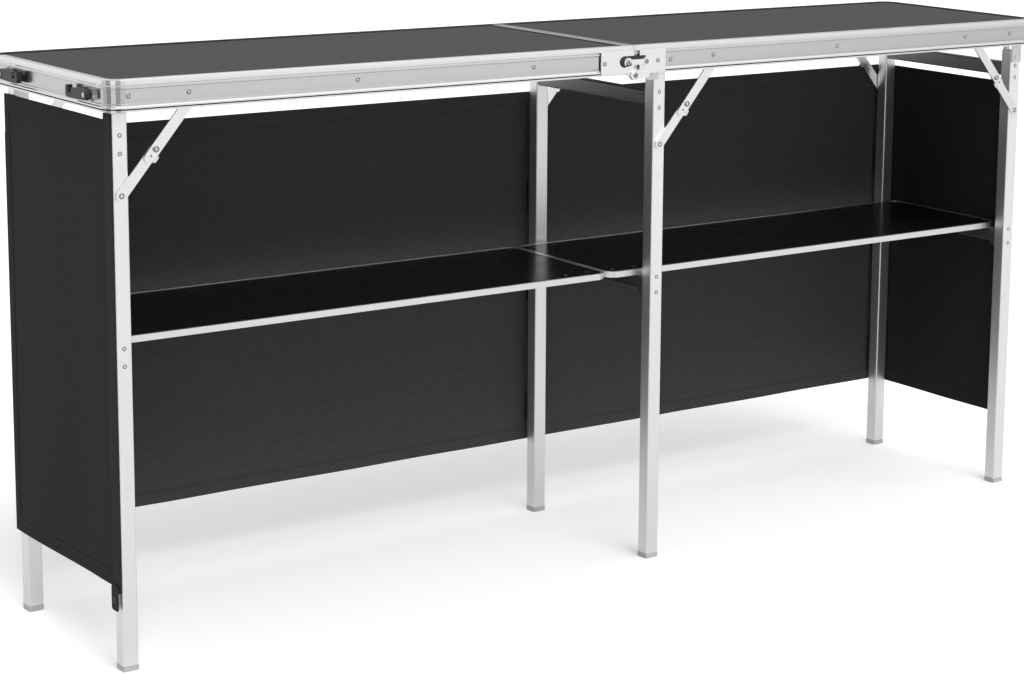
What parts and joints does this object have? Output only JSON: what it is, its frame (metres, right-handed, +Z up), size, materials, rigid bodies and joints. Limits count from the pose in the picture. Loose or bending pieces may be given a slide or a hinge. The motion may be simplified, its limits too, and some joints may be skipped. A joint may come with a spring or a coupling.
{
  "type": "folding portable bar",
  "caption": "Long folding bar counter in an aluminium rim on hinged leg frames with knee braces, a lift-out shelf and a black fabric skirt round the customer side.",
  "frame": {"origin": "on the floor under the centre joint of the counter", "axes": "+X along the bar to the right as the bartender sees it, +Y towards the customer side, +Z up"},
  "size_m": [1.914, 0.4238, 0.9],
  "materials": {
    "aluminium": "satin anodised",
    "steel": "zinc plated",
    "counter_laminate": "fine matt laminate",
    "shelf_laminate": "semi gloss black laminate",
    "skirt_fabric": "plain woven polyester",
    "black_plastic": "moulded",
    "grey_plastic": "moulded"
  },
  "bodies": {
    "counter": {"left_rim": "aluminium", "right_rim": "aluminium", "left_board": "counter_laminate", "right_board": "counter_laminate", "left_leg_mount": "steel", "middle_leg_mount": "steel", "right_leg_mount": "steel", "near_hinge_left_plate": "steel", "far_hinge_left_plate": "steel", "near_hinge_right_plate": "steel", "far_hinge_right_plate": "steel", "skirt_left_panel": "skirt_fabric", "skirt_far_panel": "skirt_fabric", "skirt_right_panel": "skirt_fabric"},
    "left_legs": {"near_left_leg": "aluminium", "far_left_leg": "aluminium", "near_left_foot_cap": "grey_plastic", "far_left_foot_cap": "grey_plastic", "near_left_shelf_ledge": "aluminium", "far_left_shelf_ledge": "aluminium", "left_top_crossbar": "aluminium"},
    "left_lower_links": {"near_left_lower_link": "aluminium", "far_left_lower_link": "aluminium"},
    "left_upper_links": {"near_left_upper_link": "aluminium", "far_left_upper_link": "aluminium"},
    "middle_legs": {"near_middle_leg": "aluminium", "far_middle_leg": "aluminium", "near_middle_foot_cap": "grey_plastic", "far_middle_foot_cap": "grey_plastic", "near_middle_shelf_ledge": "aluminium", "far_middle_shelf_ledge": "aluminium", "middle_top_crossbar": "aluminium"},
    "middle_lower_links": {"near_middle_lower_link": "aluminium", "far_middle_lower_link": "aluminium"},
    "middle_upper_links": {"near_middle_upper_link": "aluminium", "far_middle_upper_link": "aluminium"},
    "right_legs": {"near_right_leg": "aluminium", "far_right_leg": "aluminium", "near_right_foot_cap": "grey_plastic", "far_right_foot_cap": "grey_plastic", "near_right_shelf_ledge": "aluminium", "far_right_shelf_ledge": "aluminium", "right_top_crossbar": "aluminium"},
    "right_lower_links": {"near_right_lower_link": "aluminium", "far_right_lower_link": "aluminium"},
    "right_upper_links": {"near_right_upper_link": "aluminium", "far_right_upper_link": "aluminium"},
    "shelf": {"left_shelf_board": "shelf_laminate", "right_shelf_board": "shelf_laminate", "left_shelf_rail": "aluminium", "middle_shelf_rail": "aluminium", "right_shelf_rail": "aluminium", "near_shelf_strap_hinge": "steel", "far_shelf_strap_hinge": "steel"},
    "near_latch": {"near_latch_hook": "black_plastic"},
    "near_lock": {"near_lock_link": "steel"},
    "far_latch": {"far_latch_hook": "black_plastic"},
    "far_lock": {"far_lock_link": "steel"},
    "handle": {"carry_handle": "black_plastic"}
  },
  "joints": [
    {"name": "left_leg_fold", "type": "hinge", "parent": "counter", "child": "left_legs", "pos_m": [-0.9175, 0, 0.858], "axis": [0, -1, 0], "range_deg": [0, 90], "deforming": ["skirt_left_panel"]},
    {"name": "left_lower_link_turn", "type": "hinge", "parent": "left_legs", "child": "left_lower_links", "pos_m": [-0.9175, 0, 0.727], "axis": [0, -1, 0], "range_deg": [-137.84, 0]},
    {"name": "left_upper_link_turn", "type": "hinge", "parent": "counter", "child": "left_upper_links", "pos_m": [-0.7995, 0, 0.868], "axis": [0, -1, 0], "range_deg": [0, 127.91]},
    {"name": "middle_leg_fold", "type": "hinge", "parent": "counter", "child": "middle_legs", "pos_m": [0.0555, 0, 0.848], "axis": [0, -1, 0], "range_deg": [0, 90], "deforming": ["skirt_far_panel"]},
    {"name": "middle_lower_link_turn", "type": "hinge", "parent": "middle_legs", "child": "middle_lower_links", "pos_m": [0.072, 0, 0.727], "axis": [0, -1, 0], "range_deg": [0, 32.6]},
    {"name": "middle_upper_link_turn", "type": "hinge", "parent": "counter", "child": "middle_upper_links", "pos_m": [0.19, 0, 0.868], "axis": [0, -1, 0], "range_deg": [-56.25, 0]},
    {"name": "right_leg_fold", "type": "hinge", "parent": "counter", "child": "right_legs", "pos_m": [0.9175, 0, 0.828], "axis": [0, 1, 0], "range_deg": [0, 90], "deforming": ["skirt_right_panel"]},
    {"name": "right_lower_link_turn", "type": "hinge", "parent": "right_legs", "child": "right_lower_links", "pos_m": [0.9175, 0, 0.727], "axis": [0, 1, 0], "range_deg": [-167.97, 0]},
    {"name": "right_upper_link_turn", "type": "hinge", "parent": "counter", "child": "right_upper_links", "pos_m": [0.7995, 0, 0.868], "axis": [0, 1, 0], "range_deg": [0, 77.89]},
    {"name": "shelf_lift", "type": "slide", "parent": "counter", "child": "shelf", "axis": [0, 0, 1], "range_m": [0, 0.25]},
    {"name": "near_latch_swing", "type": "hinge", "parent": "counter", "child": "near_latch", "pos_m": [-0.951, -0.148, 0.874], "axis": [-1, 0, 0], "range_deg": [0, 90]},
    {"name": "near_lock_swing", "type": "hinge", "parent": "counter", "child": "near_lock", "pos_m": [0.023, -0.2092, 0.873], "axis": [0, 1, 0], "range_deg": [0, 70]},
    {"name": "far_latch_swing", "type": "hinge", "parent": "counter", "child": "far_latch", "pos_m": [-0.951, 0.148, 0.874], "axis": [1, 0, 0], "range_deg": [0, 90]},
    {"name": "far_lock_swing", "type": "hinge", "parent": "counter", "child": "far_lock", "pos_m": [0.023, 0.2092, 0.873], "axis": [0, 1, 0], "range_deg": [0, 70]},
    {"name": "handle_swing", "type": "hinge", "parent": "counter", "child": "handle", "pos_m": [0.9525, 0, 0.882], "axis": [0, -1, 0], "range_deg": [0, 90]}
  ],
  "couplings": [
    {"joint": "left_lower_link_turn", "follows": "left_leg_fold", "ratio": -1.5204},
    {"joint": "left_upper_link_turn", "follows": "left_leg_fold", "ratio": 1.4101},
    {"joint": "middle_lower_link_turn", "follows": "middle_leg_fold", "ratio": 0.3511},
    {"joint": "middle_upper_link_turn", "follows": "middle_leg_fold", "ratio": -0.6139},
    {"joint": "right_lower_link_turn", "follows": "right_leg_fold", "ratio": -1.8552},
    {"joint": "right_upper_link_turn", "follows": "right_leg_fold", "ratio": 0.8543}
  ]
}
